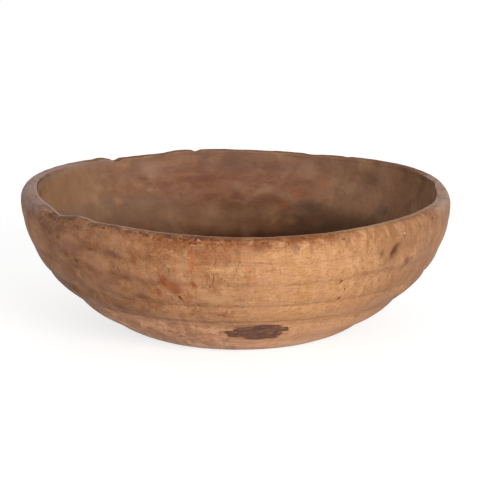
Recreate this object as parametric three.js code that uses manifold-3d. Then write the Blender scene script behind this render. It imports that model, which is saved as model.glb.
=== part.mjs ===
// Turned wooden bowl: a wide, thick-walled bowl turned from half a log, gone out of round as it dried.
// A remnant of bark is left on its lower wall, where the blank was a little too small.
// Millimetres, +Z up. The origin is the centre of the foot's underside, and +X runs along the grain.

import * as THREE from 'three';
import { mergeVertices } from 'three/addons/utils/BufferGeometryUtils.js';
import Module from 'manifold-3d';

// Outside, as turned
const FOOT_RADIUS = 82.5;
const BELLY_RADIUS = 174;
const BELLY_HEIGHT = 102.5;
// Exponent of the wall's curve: 1 is a plain parabola, and less makes the lower wall fuller
const BELLY_FULLNESS = 0.77;

// Grooves between the tool's passes round the outside, from the foot up
const RING_GROOVES = [
  { height: 11.5, depth: 4, spread: 5.5 },
  { height: 31.5, depth: 5.5, spread: 11 },
  { height: 53, depth: 1.6, spread: 3 },
  { height: 70.5, depth: 1.8, spread: 15 },
  { height: 91, depth: 0.6, spread: 5 },
];
// How far the bottom of each groove is rounded
const GROOVE_ROUNDING = 1.2;

// Rim: a narrow flat crest with a crisp inner edge, rolled over towards the outside
const RIM_RISE = 9.9;
const RIM_ROLL = 7;
const RIM_CREST = 4.4;
// Exponent of the roll's curve: 1 is an ellipse, and less makes the outer corner squarer
const ROLL_SQUARENESS = 0.75;

// Hollow
const FLOOR_THICKNESS = 14;
// Exponents of the hollow's curve: the first straightens the wall under the rim, the second fills the floor
const HOLLOW_STRAIGHTNESS = 2.2;
const HOLLOW_FULLNESS = 0.45;

// How the bowl moved as it dried: it shrank across the grain, and its rim moved, tilted and warped
const SHRINKAGE_ACROSS_GRAIN = 0.025;
const RIM_SHIFT = -2.7;
const RIM_TILT = 1.55;
const RIM_SADDLE = 1.5;
// Direction of the warp's ridge, in degrees from +X, which is also the side that the tilt lowers
const WARP_ANGLE = 8;
// Height from which the rim's unevenness starts in the wall
const LIFT_START = 30;
// Worn stretches of the rim: the place and half the width, in degrees from +X, and the depth
const RIM_WEAR = [
  { angle: -147, width: 4.5, depth: 3.4 },
  { angle: -4, width: 14, depth: 1.3 },
  { angle: 66, width: 15, depth: 1.6 },
  { angle: 122, width: 12, depth: 2.6 },
];

// Bark remnant: a lens along the grain, let into the lower wall
const BARK_LENGTH = 50;
const BARK_HEIGHT = 30;
const BARK_THICKNESS = 2.5;
const BARK_ANGLE = -83.5;
const BARK_CENTRE_HEIGHT = 25;
// Clearance between the bark and its seat in the wood
const SEAT_GAP = 0.3;
// How far the column that cuts the seat runs to either side of the wall's surface
const SEAT_REACH = 12;

// Facets
const TURN_STEPS = 96;
const BAND_STEPS = 5;
const ROLL_STEPS = 5;
const HOLLOW_STEPS = 14;
const BARK_EDGE_STEPS = 10;

const BOWL_HEIGHT = BELLY_HEIGHT + RIM_RISE;
const RIM_INNER_RADIUS = BELLY_RADIUS - RIM_ROLL - RIM_CREST;
const QUARTER_TURN = Math.PI / 2;

const wasm = await Module();
wasm.setup();

// Radius of the turned wall at a height between the foot and the belly
function wallRadius(height) {
  const swell = (1 - (1 - height / BELLY_HEIGHT) ** 2) ** BELLY_FULLNESS;
  let radius = FOOT_RADIUS + (BELLY_RADIUS - FOOT_RADIUS) * swell;
  for (const { height: middle, depth, spread } of RING_GROOVES) {
    const away = Math.hypot(height - middle, GROOVE_ROUNDING) - GROOVE_ROUNDING;
    radius -= depth * Math.exp(-away / spread);
  }
  return radius;
}

// Outside of the bowl as points of radius and height: the bands between the grooves, then the rim's roll
function outsideOutline() {
  const points = [new THREE.Vector2(wallRadius(0), 0)];
  let bandStart = 0;
  for (const bandEnd of [...RING_GROOVES.map((groove) => groove.height), BELLY_HEIGHT]) {
    for (let i = 1; i <= BAND_STEPS; i += 1) {
      const height = THREE.MathUtils.lerp(bandStart, bandEnd, i / BAND_STEPS);
      points.push(new THREE.Vector2(wallRadius(height), height));
    }
    bandStart = bandEnd;
  }
  const crestRadius = RIM_INNER_RADIUS + RIM_CREST;
  const roll = wallRadius(BELLY_HEIGHT) - crestRadius;
  for (let i = 1; i <= ROLL_STEPS; i += 1) {
    const turn = (QUARTER_TURN * i) / ROLL_STEPS;
    const radius = crestRadius + roll * Math.max(0, Math.cos(turn)) ** ROLL_SQUARENESS;
    points.push(new THREE.Vector2(radius, BELLY_HEIGHT + RIM_RISE * Math.sin(turn) ** ROLL_SQUARENESS));
  }
  return points;
}

// Hollow as points of radius and height, from the rim's inner edge down to the floor, closer near the floor
function hollowOutline() {
  const points = [];
  for (let i = HOLLOW_STEPS; i >= 0; i -= 1) {
    const rise = (i / HOLLOW_STEPS) ** 2;
    const radius = RIM_INNER_RADIUS * (1 - (1 - rise) ** HOLLOW_STRAIGHTNESS) ** HOLLOW_FULLNESS;
    points.push(new THREE.Vector2(radius, THREE.MathUtils.lerp(FLOOR_THICKNESS, BOWL_HEIGHT, rise)));
  }
  return points;
}

// How far the rim stands above its mean height at an angle round the bowl
function rimLift(angle) {
  const warpTurn = angle - THREE.MathUtils.degToRad(WARP_ANGLE);
  let lift = RIM_SADDLE * Math.cos(2 * warpTurn) - RIM_TILT * Math.cos(warpTurn);
  for (const { angle: middle, width, depth } of RIM_WEAR) {
    const turn = angle - THREE.MathUtils.degToRad(middle);
    const away = Math.atan2(Math.sin(turn), Math.cos(turn)) / THREE.MathUtils.degToRad(width);
    lift -= depth * Math.exp(-away * away);
  }
  return lift;
}

// Moves a point of the bowl as turned to its place on the dried and worn bowl
function dry(point) {
  const angle = Math.atan2(point.y, point.x);
  const rise = Math.max(0, point.z - LIFT_START) / (BOWL_HEIGHT - LIFT_START);
  point.x += (RIM_SHIFT * point.z) / BOWL_HEIGHT;
  point.y *= 1 - SHRINKAGE_ACROSS_GRAIN;
  point.z += rimLift(angle) * rise * rise;
  return point;
}

// Closed solid from a geometry: vertices that coincide are merged, and the slivers at the axis left out
function toSolid(geometry) {
  geometry.deleteAttribute('normal');
  geometry.deleteAttribute('uv');
  const merged = mergeVertices(geometry, 1e-3);
  const triangles = [];
  for (let i = 0; i < merged.index.count; i += 3) {
    const [a, b, c] = [0, 1, 2].map((corner) => merged.index.getX(i + corner));
    if (a !== b && b !== c && c !== a) {
      triangles.push(a, b, c);
    }
  }
  return new wasm.Manifold(new wasm.Mesh({
    numProp: 3,
    vertProperties: new Float32Array(merged.attributes.position.array),
    triVerts: new Uint32Array(triangles),
  }));
}

// Named mesh from a solid
function toMesh(name, solid, material) {
  const { vertProperties, triVerts } = solid.getMesh();
  const geometry = new THREE.BufferGeometry();
  geometry.setAttribute('position', new THREE.BufferAttribute(vertProperties, 3));
  geometry.setIndex(new THREE.BufferAttribute(triVerts, 1));
  geometry.computeVertexNormals();
  const mesh = new THREE.Mesh(geometry, material);
  mesh.name = name;
  return mesh;
}

// Solid turned about +Z from an outline that starts and ends on the axis, then dried
function turned(outline) {
  const geometry = new THREE.LatheGeometry(outline, TURN_STEPS).rotateX(QUARTER_TURN);
  const position = geometry.attributes.position;
  const point = new THREE.Vector3();
  for (let i = 0; i < position.count; i += 1) {
    dry(point.fromBufferAttribute(position, i));
    position.setXYZ(i, point.x, point.y, point.z);
  }
  return toSolid(geometry);
}

// Radius that the wall gains for each millimetre of height, measured over its finest feature
function wallSlope(height) {
  const gain = wallRadius(height + GROOVE_ROUNDING) - wallRadius(height - GROOVE_ROUNDING);
  return gain / (2 * GROOVE_ROUNDING);
}

// Place of the bark's middle on the wall, with axes along the grain, up the wall and straight out of it
function barkPlace() {
  const angle = THREE.MathUtils.degToRad(BARK_ANGLE);
  const radius = wallRadius(BARK_CENTRE_HEIGHT);
  const slope = wallSlope(BARK_CENTRE_HEIGHT);
  const out = new THREE.Vector3(Math.cos(angle), Math.sin(angle), -slope).normalize();
  const along = new THREE.Vector3(-Math.sin(angle), Math.cos(angle), 0);
  const up = new THREE.Vector3().crossVectors(out, along);
  const middle = new THREE.Vector3(Math.cos(angle) * radius, Math.sin(angle) * radius, BARK_CENTRE_HEIGHT);
  return new THREE.Matrix4().makeBasis(along, up, out).setPosition(dry(middle));
}

// Lens-shaped column through the wall at the bark's place, grown all round by a margin
function barkColumn(place, margin) {
  const tip = BARK_LENGTH / 2 + margin;
  const crown = BARK_HEIGHT + 2 * margin;
  const lens = new THREE.Shape();
  lens.moveTo(-tip, 0);
  lens.quadraticCurveTo(0, -crown, tip, 0);
  lens.quadraticCurveTo(0, crown, -tip, 0);
  const options = { depth: 2 * SEAT_REACH, bevelEnabled: false, curveSegments: BARK_EDGE_STEPS };
  const column = new THREE.ExtrudeGeometry(lens, options).translate(0, 0, -SEAT_REACH);
  return toSolid(column.applyMatrix4(place));
}

// The wall's outside moved straight in at the bark's place by a depth
function sunken(outside, place, depth) {
  const inward = new THREE.Vector3().setFromMatrixColumn(place, 2).multiplyScalar(-depth);
  return outside.translate(inward.toArray());
}

const foot = new THREE.Vector2(0, 0);
const crestMiddle = new THREE.Vector2(0, BOWL_HEIGHT);
const outside = turned([foot, ...outsideOutline(), crestMiddle]);
const blank = turned([foot, ...outsideOutline(), ...hollowOutline()]);

const place = barkPlace();
const seat = barkColumn(place, SEAT_GAP).subtract(sunken(outside, place, BARK_THICKNESS + SEAT_GAP));
const bark = outside.intersect(barkColumn(place, 0)).subtract(sunken(outside, place, BARK_THICKNESS));

const agedWood = new THREE.MeshStandardMaterial({ color: 0xb98a62, roughness: 0.7, metalness: 0 });
const darkBark = new THREE.MeshStandardMaterial({ color: 0x6e5041, roughness: 0.9, metalness: 0 });

const bowl = new THREE.Group();
bowl.name = 'wooden_bowl';
bowl.add(toMesh('bowl_body', blank.subtract(seat), agedWood));
bowl.add(toMesh('bark_patch', bark, darkBark));

export default bowl;
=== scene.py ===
"""Looks of an old, thick-walled wooden bowl, turned from half a log and gone out of round as it dried.

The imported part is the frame. A finer bowl and a rough remnant of bark stand for its two solids, at the same
sizes and in the same places. Lengths are metres, Z is up and X runs along the grain. Angles are degrees
round the bowl from +X. The finishes give the places and sizes of their patterns in millimetres.
"""

from __future__ import annotations

import logging
import math
from collections.abc import Callable, Iterator
from contextlib import contextmanager
from dataclasses import dataclass, field, replace
from enum import Enum
from functools import partial
from typing import Any

import bpy
import numpy as np
from mathutils import Matrix, Vector, noise

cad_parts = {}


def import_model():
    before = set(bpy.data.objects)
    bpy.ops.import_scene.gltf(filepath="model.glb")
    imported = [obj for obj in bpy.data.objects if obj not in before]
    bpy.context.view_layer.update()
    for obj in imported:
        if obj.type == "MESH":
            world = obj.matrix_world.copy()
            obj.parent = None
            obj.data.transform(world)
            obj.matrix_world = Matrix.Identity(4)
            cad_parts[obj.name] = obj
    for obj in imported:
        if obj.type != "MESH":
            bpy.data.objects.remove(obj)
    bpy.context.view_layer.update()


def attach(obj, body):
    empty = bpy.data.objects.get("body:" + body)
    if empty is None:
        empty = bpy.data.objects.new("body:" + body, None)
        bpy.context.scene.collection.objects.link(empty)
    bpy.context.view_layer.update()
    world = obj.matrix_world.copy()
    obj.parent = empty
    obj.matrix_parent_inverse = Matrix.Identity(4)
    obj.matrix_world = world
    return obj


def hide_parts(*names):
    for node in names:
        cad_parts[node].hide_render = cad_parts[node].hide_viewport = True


LOG = logging.getLogger("wooden_bowl")

MM = 0.001
BODY = "root"
# Attributes that the bowl's mesh carries
ROW = "row"
TURNED = "turned"
# Inputs and the output that a Mix node of colours uses
MIX_FACTOR, MIX_BELOW, MIX_ABOVE, MIX_RESULT = 0, 6, 7, 2
# Vertices closer than this are merged
MERGE = 0.01 * MM
# Angle of the side that faces the camera
FRONT = -90.0
# Crowding of steps that are all of one length
EVEN = 1.0
# Share of a move along a diagonal that goes each way
DIAGONAL = math.sqrt(0.5)
# Margin that takes up the rounding of the row numbers
HALF_ROW = 0.5
# Level that a noise texture lies about
NOISE_MIDDLE = 0.5
# Length of one turn of a wave texture at a scale of 1
WAVE_TURN = math.pi / 10
WHITE = "#ffffff"


class Space(Enum):
    """Coordinates that a pattern in the wood follows."""

    GRAIN = "solid wood, X along the grain"
    TURNED = "round the bowl and down the wall from the rim"


def linear(code: str) -> tuple[float, float, float, float]:
    """Turns an sRGB hex colour to linear light.

    Args:
        code: Colour as "#rrggbb".

    Returns:
        Red, green and blue from 0 to 1, and an alpha of 1.
    """
    channels = [int(code[place:place + 2], 16) / 255 for place in (1, 3, 5)]
    # The curve of the sRGB standard
    red, green, blue = [c / 12.92 if c <= 0.04045 else ((c + 0.055) / 1.055) ** 2.4 for c in channels]
    return red, green, blue, 1.0


def in_metres(sizes: tuple[float, float, float]) -> tuple[float, float, float]:
    """Turns three sizes in millimetres to metres."""
    return sizes[0] * MM, sizes[1] * MM, sizes[2] * MM


def add_node(
    tree: bpy.types.NodeTree, kind: str, inputs: dict[str | int, Any] | None = None, **settings: Any
) -> bpy.types.Node:
    """Adds a node with its settings and links.

    Args:
        tree: Node tree that the node goes into.
        kind: Node type, such as "ShaderNodeMix".
        inputs: Value, or socket to link from, for each input by name or number.
        settings: Properties of the node.

    Returns:
        The new node.
    """
    node = tree.nodes.new(kind)
    for name, value in settings.items():
        setattr(node, name, value)
    for key, value in (inputs or {}).items():
        if isinstance(value, bpy.types.NodeSocket):
            tree.links.new(value, node.inputs[key])
        else:
            node.inputs[key].default_value = value
    return node


def new_material(name: str) -> tuple[bpy.types.Material, bpy.types.NodeTree]:
    """Makes an empty node material.

    Args:
        name: Name of the material.

    Returns:
        The material and its node tree.
    """
    material = bpy.data.materials.new(name)
    material.use_nodes = True
    material.node_tree.nodes.clear()
    return material, material.node_tree


def select_only(piece: bpy.types.Object) -> None:
    """Makes a piece the active one and the only one that is selected.

    Args:
        piece: Object to select.
    """
    bpy.ops.object.select_all(action="DESELECT")
    piece.select_set(True)
    bpy.context.view_layer.objects.active = piece


@contextmanager
def editing(piece: bpy.types.Object) -> Iterator[None]:
    """Keeps a piece in edit mode for a with block, alone and selected all over.

    Args:
        piece: Mesh object.

    Returns:
        Context in which the piece is in edit mode.
    """
    select_only(piece)
    bpy.ops.object.mode_set(mode="EDIT")
    bpy.ops.mesh.select_all(action="SELECT")
    yield
    bpy.ops.object.mode_set(mode="OBJECT")


def apply_modifier(piece: bpy.types.Object, kind: str, **settings: Any) -> None:
    """Adds a modifier to a piece and applies it.

    Args:
        piece: Mesh object.
        kind: Modifier type, such as "DISPLACE".
        settings: Properties of the modifier.
    """
    select_only(piece)
    modifier = piece.modifiers.new(kind.lower(), kind)
    for name, value in settings.items():
        setattr(modifier, name, value)
    bpy.ops.object.modifier_apply(modifier=modifier.name)


def get_points(mesh: bpy.types.Mesh) -> np.ndarray:
    """Reads a mesh's vertices.

    Args:
        mesh: Mesh to read.

    Returns:
        One row of x, y and z for each vertex.
    """
    flat = np.empty(len(mesh.vertices) * 3, np.float32)
    mesh.vertices.foreach_get("co", flat)
    return flat.reshape(-1, 3).astype(float)


def set_points(mesh: bpy.types.Mesh, points: np.ndarray) -> None:
    """Moves a mesh's vertices to new places, one row of x, y and z each."""
    mesh.vertices.foreach_set("co", points.astype(np.float32).ravel())
    mesh.update()


def divide(
    radii: np.ndarray, heights: np.ndarray, steps: int, crowding: float
) -> list[tuple[float, float]]:
    """Divides an outline into steps.

    Args:
        radii: Radius at each point of a fine outline.
        heights: Height at each point of that outline.
        steps: Number of steps.
        crowding: 1 for steps of one length, and more for shorter ones at the start.

    Returns:
        Radius and height at the end of each step, without the outline's first point.
    """
    lengths = np.concatenate([[0.0], np.cumsum(np.hypot(np.diff(radii), np.diff(heights)))])
    ends = lengths[-1] * np.linspace(0.0, 1.0, steps + 1)[1:] ** crowding
    return list(zip(np.interp(ends, lengths, radii), np.interp(ends, lengths, heights)))


def angle_between(angles: np.ndarray, middle: float) -> np.ndarray:
    """Angles, in degrees, measured from a middle given in degrees, the short way round."""
    return (np.degrees(angles) - middle + 180.0) % 360.0 - 180.0


@dataclass(frozen=True)
class Span:
    """Part of the way round the bowl, in degrees: full to either side of an angle, then fading out."""

    angle: float
    full: float
    gone: float


@dataclass(frozen=True)
class Band:
    """Part of the way down the wall from the rim, which fades out above its top and below its bottom."""

    top: float
    bottom: float
    above: float
    below: float


@dataclass(frozen=True)
class Stain:
    """Cloudy layer of colour: its greatest cover, the size of its clouds, and where on the bowl it lies."""

    colour: str
    cover: float
    size: tuple[float, float, float]
    # Level of the clouds at which the stain starts, and at which its cover is full
    cut: tuple[float, float] = (0.42, 0.62)
    space: Space = Space.TURNED
    detail: float = 3.0
    span: Span | None = None
    band: Band | None = None


@dataclass(frozen=True)
class Mark:
    """One spot on the wall: its place, half its width and length, its colour, and its lean in degrees.

    Its cover is full within the core, a share of its size, and it may be a little hollow.
    """

    angle: float
    height: float
    width: float
    length: float
    colour: str
    cover: float
    lean: float = 0.0
    core: float = 0.35
    depth: float = 0.0


@dataclass(frozen=True)
class Relief:
    """Fine unevenness of the surface: the size of its lumps along each axis, and their depth."""

    size: tuple[float, float, float]
    depth: float
    space: Space = Space.GRAIN


@dataclass(frozen=True)
class TurnedWood:
    """Old maple, turned on a lathe and left bare, browned by years of hands and worn to a low sheen."""

    name: str
    light: str
    dark: str
    stains: tuple[Stain, ...]
    marks: tuple[Mark, ...]
    reliefs: tuple[Relief, ...]
    # Roughness where the polish is best and worst, the clouds' levels there, and the size of such patches
    roughness: tuple[float, float] = (0.5, 0.72)
    polish_levels: tuple[float, float] = (0.3, 0.7)
    polish_size: float = 18.0
    specular: float = 0.1
    # Growth rings round the heart of the log, a line along the grain above the bowl
    heart: tuple[float, float, float] = (0.0, 12.0, 150.0)
    ring_width: float = 4.2
    ring_waviness: float = 5.0
    ring_detail: float = 3.0
    ring_detail_scale: float = 0.35
    cloud_roughness: float = 0.6
    # Shift from the clouds of one stain to those of the next, so that no two share a pattern
    cloud_shift: float = 137.0
    # How far, and at what size, the edge of a mark is ragged, and how deep a mark goes into the wall
    ragged: float = 4.0
    ragged_size: float = 4.0
    mark_reach: float = 40.0

    def material(
        self, place_of: Callable[[float, float], Vector], belly_radius: float
    ) -> bpy.types.Material:
        """Builds the wood from its layers.

        Args:
            place_of: Gives the turned coordinates of an angle and a height on the wall.
            belly_radius: Radius of the circle that the turned coordinates lie on.

        Returns:
            The material.
        """
        material, tree = new_material(self.name)
        solid = add_node(tree, "ShaderNodeTexCoord").outputs["Object"]
        turned = add_node(tree, "ShaderNodeAttribute", attribute_name=TURNED).outputs["Vector"]
        spaces = {Space.GRAIN: solid, Space.TURNED: turned}
        height = self._relief(tree, spaces)
        colour = self._ground(tree, solid)
        # A layer is laid over the ones below it before the next one's nodes are added, because the renderer
        # works through the nodes in this order and has little room for values that wait
        for mask, code, depth in self._layers(tree, spaces, place_of, belly_radius):
            colour = add_node(
                tree, "ShaderNodeMix", {MIX_FACTOR: mask, MIX_BELOW: colour, MIX_ABOVE: linear(code)},
                data_type="RGBA",
            ).outputs[MIX_RESULT]
            if depth:
                height = add_node(
                    tree, "ShaderNodeMath", {0: mask, 1: -depth * MM, 2: height}, operation="MULTIPLY_ADD"
                ).outputs[0]
        self._finish(tree, colour, height, solid)
        return material

    def _layers(
        self, tree: bpy.types.NodeTree, spaces: dict[Space, bpy.types.NodeSocket],
        place_of: Callable[[float, float], Vector], belly_radius: float,
    ) -> Iterator[tuple[bpy.types.NodeSocket, str, float]]:
        """Adds the nodes of the stains and then of the marks, one layer at a time.

        Args:
            tree: Node tree of the material.
            spaces: Coordinates by space.
            place_of: Gives the turned coordinates of an angle and a height on the wall.
            belly_radius: Radius of the circle that the turned coordinates lie on.

        Returns:
            Cover, colour and depth of each layer, from the lowest up.
        """
        for index, stain in enumerate(self.stains):
            yield self._stain_mask(tree, stain, index, spaces, belly_radius), stain.colour, 0.0
        edge = self._ragged(tree, spaces[Space.TURNED])
        for mark in self.marks:
            yield self._mark_mask(tree, mark, edge, place_of), mark.colour, mark.depth

    def _ground(self, tree: bpy.types.NodeTree, solid: bpy.types.NodeSocket) -> bpy.types.NodeSocket:
        """Bare wood: wavy growth rings round the heart of the log.

        Args:
            tree: Node tree of the material.
            solid: Object coordinates.

        Returns:
            Colour of the wood.
        """
        from_heart = add_node(
            tree, "ShaderNodeMapping", {"Vector": solid, "Location": in_metres(self.heart)},
            vector_type="TEXTURE",
        ).outputs[0]
        rings = add_node(
            tree, "ShaderNodeTexWave",
            {"Vector": from_heart, "Scale": WAVE_TURN / (self.ring_width * MM),
             "Distortion": self.ring_waviness, "Detail": self.ring_detail,
             "Detail Scale": self.ring_detail_scale},
            wave_type="RINGS", rings_direction="X",
        ).outputs[1]
        return add_node(
            tree, "ShaderNodeMix",
            {MIX_FACTOR: rings, MIX_BELOW: linear(self.light), MIX_ABOVE: linear(self.dark)},
            data_type="RGBA",
        ).outputs[MIX_RESULT]

    def _stain_mask(
        self, tree: bpy.types.NodeTree, stain: Stain, index: int, spaces: dict[Space, bpy.types.NodeSocket],
        belly_radius: float,
    ) -> bpy.types.NodeSocket:
        """Where a stain lies: its clouds, within its span round the bowl and its band down the wall.

        Args:
            tree: Node tree of the material.
            stain: The stain.
            index: Its place in the list of stains.
            spaces: Coordinates by space.
            belly_radius: Radius of the circle that the turned coordinates lie on.

        Returns:
            Cover of the stain, from 0 to its greatest.
        """
        place = add_node(
            tree, "ShaderNodeMapping",
            {"Vector": spaces[stain.space], "Location": in_metres((index * self.cloud_shift,) * 3),
             "Scale": in_metres(stain.size)},
            vector_type="TEXTURE",
        ).outputs[0]
        clouds = add_node(
            tree, "ShaderNodeTexNoise",
            {"Vector": place, "Scale": 1.0, "Detail": stain.detail, "Roughness": self.cloud_roughness},
        ).outputs[0]
        # Each limit is a value, where it starts to let the stain through, where it lets all of it through,
        # and its cover there
        limits = [(clouds, *stain.cut, stain.cover)]
        turned = spaces[Space.TURNED]
        if stain.span:
            turn = math.radians(stain.span.angle)
            towards = add_node(
                tree, "ShaderNodeVectorMath", {0: turned, 1: (math.cos(turn), math.sin(turn), 0.0)},
                operation="DOT_PRODUCT",
            ).outputs[1]
            ends = [belly_radius * math.cos(math.radians(far)) for far in (stain.span.gone, stain.span.full)]
            limits.append((towards, *ends, 1.0))
        if stain.band:
            drop = add_node(tree, "ShaderNodeSeparateXYZ", {0: turned}).outputs[2]
            top, bottom = stain.band.top * MM, stain.band.bottom * MM
            limits.append((drop, top - stain.band.above * MM, top, 1.0))
            limits.append((drop, bottom + stain.band.below * MM, bottom, 1.0))
        mask: Any = 1.0
        for value, start, full, most in limits:
            part = add_node(
                tree, "ShaderNodeMapRange",
                {"Value": value, "From Min": start, "From Max": full, "To Max": most},
                interpolation_type="SMOOTHSTEP",
            ).outputs[0]
            mask = add_node(tree, "ShaderNodeMath", {0: part, 1: mask}, operation="MULTIPLY").outputs[0]
        return mask

    def _relief(
        self, tree: bpy.types.NodeTree, spaces: dict[Space, bpy.types.NodeSocket]
    ) -> bpy.types.NodeSocket:
        """Height of the fine unevenness, in metres.

        Args:
            tree: Node tree of the material.
            spaces: Coordinates by space.

        Returns:
            Sum of all reliefs.
        """
        height: Any = 0.0
        for relief in self.reliefs:
            place = add_node(
                tree, "ShaderNodeMapping", {"Vector": spaces[relief.space], "Scale": in_metres(relief.size)},
                vector_type="TEXTURE",
            ).outputs[0]
            lumps = add_node(tree, "ShaderNodeTexNoise", {"Vector": place, "Scale": 1.0}).outputs[0]
            height = add_node(
                tree, "ShaderNodeMath", {0: lumps, 1: relief.depth * MM, 2: height}, operation="MULTIPLY_ADD"
            ).outputs[0]
        return height

    def _ragged(self, tree: bpy.types.NodeTree, turned: bpy.types.NodeSocket) -> bpy.types.NodeSocket:
        """Turned coordinates pushed about, so that a mark drawn on them has a ragged edge.

        Args:
            tree: Node tree of the material.
            turned: Turned coordinates.

        Returns:
            Ragged coordinates.
        """
        push = add_node(
            tree, "ShaderNodeTexNoise", {"Vector": turned, "Scale": 1 / (self.ragged_size * MM)}
        ).outputs[1]
        centred = add_node(
            tree, "ShaderNodeVectorMath", {0: push, 1: (NOISE_MIDDLE,) * 3}, operation="SUBTRACT"
        ).outputs[0]
        return add_node(
            tree, "ShaderNodeVectorMath", {0: centred, 1: in_metres((self.ragged,) * 3), 2: turned},
            operation="MULTIPLY_ADD",
        ).outputs[0]

    def _mark_mask(
        self, tree: bpy.types.NodeTree, mark: Mark, edge: bpy.types.NodeSocket,
        place_of: Callable[[float, float], Vector],
    ) -> bpy.types.NodeSocket:
        """Where a mark lies: an oval on the wall, solid in its core and faded at its edge.

        Args:
            tree: Node tree of the material.
            mark: The mark.
            edge: Ragged coordinates.
            place_of: Gives the turned coordinates of an angle and a height on the wall.

        Returns:
            Cover of the mark, from 0 to its greatest.
        """
        oval = add_node(
            tree, "ShaderNodeMapping",
            {"Vector": edge, "Location": place_of(mark.angle, mark.height * MM),
             "Rotation": (0.0, -math.radians(mark.lean), math.radians(mark.angle - FRONT)),
             "Scale": in_metres((mark.width, self.mark_reach, mark.length))},
            vector_type="TEXTURE",
        ).outputs[0]
        # From 1 in the middle of the oval to 0 at its edge
        inside = add_node(
            tree, "ShaderNodeTexGradient", {"Vector": oval}, gradient_type="SPHERICAL"
        ).outputs[1]
        return add_node(
            tree, "ShaderNodeMapRange", {"Value": inside, "From Max": 1 - mark.core, "To Max": mark.cover},
            interpolation_type="SMOOTHSTEP",
        ).outputs[0]

    def _finish(
        self, tree: bpy.types.NodeTree, colour: bpy.types.NodeSocket, height: bpy.types.NodeSocket,
        solid: bpy.types.NodeSocket,
    ) -> None:
        """Joins the colour and the relief in a dull shader whose polish comes and goes.

        Args:
            tree: Node tree of the material.
            colour: Colour of the wood.
            height: Relief, in metres.
            solid: Object coordinates.
        """
        polish = add_node(
            tree, "ShaderNodeTexNoise", {"Vector": solid, "Scale": 1 / (self.polish_size * MM)}
        ).outputs[0]
        low, high = self.polish_levels
        best, worst = self.roughness
        rough = add_node(
            tree, "ShaderNodeMapRange",
            {"Value": polish, "From Min": low, "From Max": high, "To Min": best, "To Max": worst},
        ).outputs[0]
        normal = add_node(tree, "ShaderNodeBump", {"Height": height, "Distance": 1.0}).outputs[0]
        shader = add_node(
            tree, "ShaderNodeBsdfPrincipled",
            {"Base Color": colour, "Roughness": rough, "Normal": normal,
             "Specular IOR Level": self.specular},
        ).outputs[0]
        add_node(tree, "ShaderNodeOutputMaterial", {"Surface": shader})


@dataclass(frozen=True)
class DryBark:
    """Old inner bark, dry and torn along its fibres: dull purple brown with dark cracks and paler flakes."""

    name: str = "maple bark, dry and torn"
    ground: str = "#6a4632"
    bloom: str = "#714b3a"
    flake: str = "#a07050"
    crack: str = "#3a241a"
    # Coarser than real fibres, so that they show
    fibre: tuple[float, float, float] = (6.5, 1.9, 1.9)
    fibre_depth: float = 0.8
    fibre_detail: float = 3.0
    fibre_roughness: float = 0.6
    flake_size: float = 3.4
    # Level of the pattern at which a layer starts, level at which it is full, and its greatest cover
    bloom_levels: tuple[float, float, float] = (0.38, 0.66, 0.6)
    flake_levels: tuple[float, float, float] = (0.53, 0.68, 0.75)
    crack_levels: tuple[float, float, float] = (0.49, 0.34, 0.9)
    roughness: float = 0.9

    def material(self) -> bpy.types.Material:
        """Builds the bark's material.

        Returns:
            The material.
        """
        material, tree = new_material(self.name)
        solid = add_node(tree, "ShaderNodeTexCoord").outputs["Object"]
        along = add_node(
            tree, "ShaderNodeMapping", {"Vector": solid, "Scale": in_metres(self.fibre)},
            vector_type="TEXTURE",
        ).outputs[0]
        fibres = add_node(
            tree, "ShaderNodeTexNoise",
            {"Vector": along, "Scale": 1.0, "Detail": self.fibre_detail, "Roughness": self.fibre_roughness},
        ).outputs[0]
        patches = add_node(
            tree, "ShaderNodeTexNoise", {"Vector": solid, "Scale": 1 / (self.flake_size * MM)}
        ).outputs[0]
        layers = (
            (patches, self.bloom_levels, self.bloom),
            (fibres, self.flake_levels, self.flake),
            (fibres, self.crack_levels, self.crack),
        )
        colour: Any = linear(self.ground)
        for pattern, (start, full, cover), code in layers:
            mask = add_node(
                tree, "ShaderNodeMapRange",
                {"Value": pattern, "From Min": start, "From Max": full, "To Max": cover},
            ).outputs[0]
            colour = add_node(
                tree, "ShaderNodeMix", {MIX_FACTOR: mask, MIX_BELOW: colour, MIX_ABOVE: linear(code)},
                data_type="RGBA",
            ).outputs[MIX_RESULT]
        normal = add_node(
            tree, "ShaderNodeBump", {"Height": fibres, "Distance": self.fibre_depth * MM}
        ).outputs[0]
        shader = add_node(
            tree, "ShaderNodeBsdfPrincipled",
            {"Base Color": colour, "Roughness": self.roughness, "Normal": normal},
        ).outputs[0]
        add_node(tree, "ShaderNodeOutputMaterial", {"Surface": shader})
        return material


# Underside of the foot, and floor of the hollow
UNDERSIDE = Band(164, 400, 5, 10)
FLOOR = Band(136, 400, 40, 10)

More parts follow.
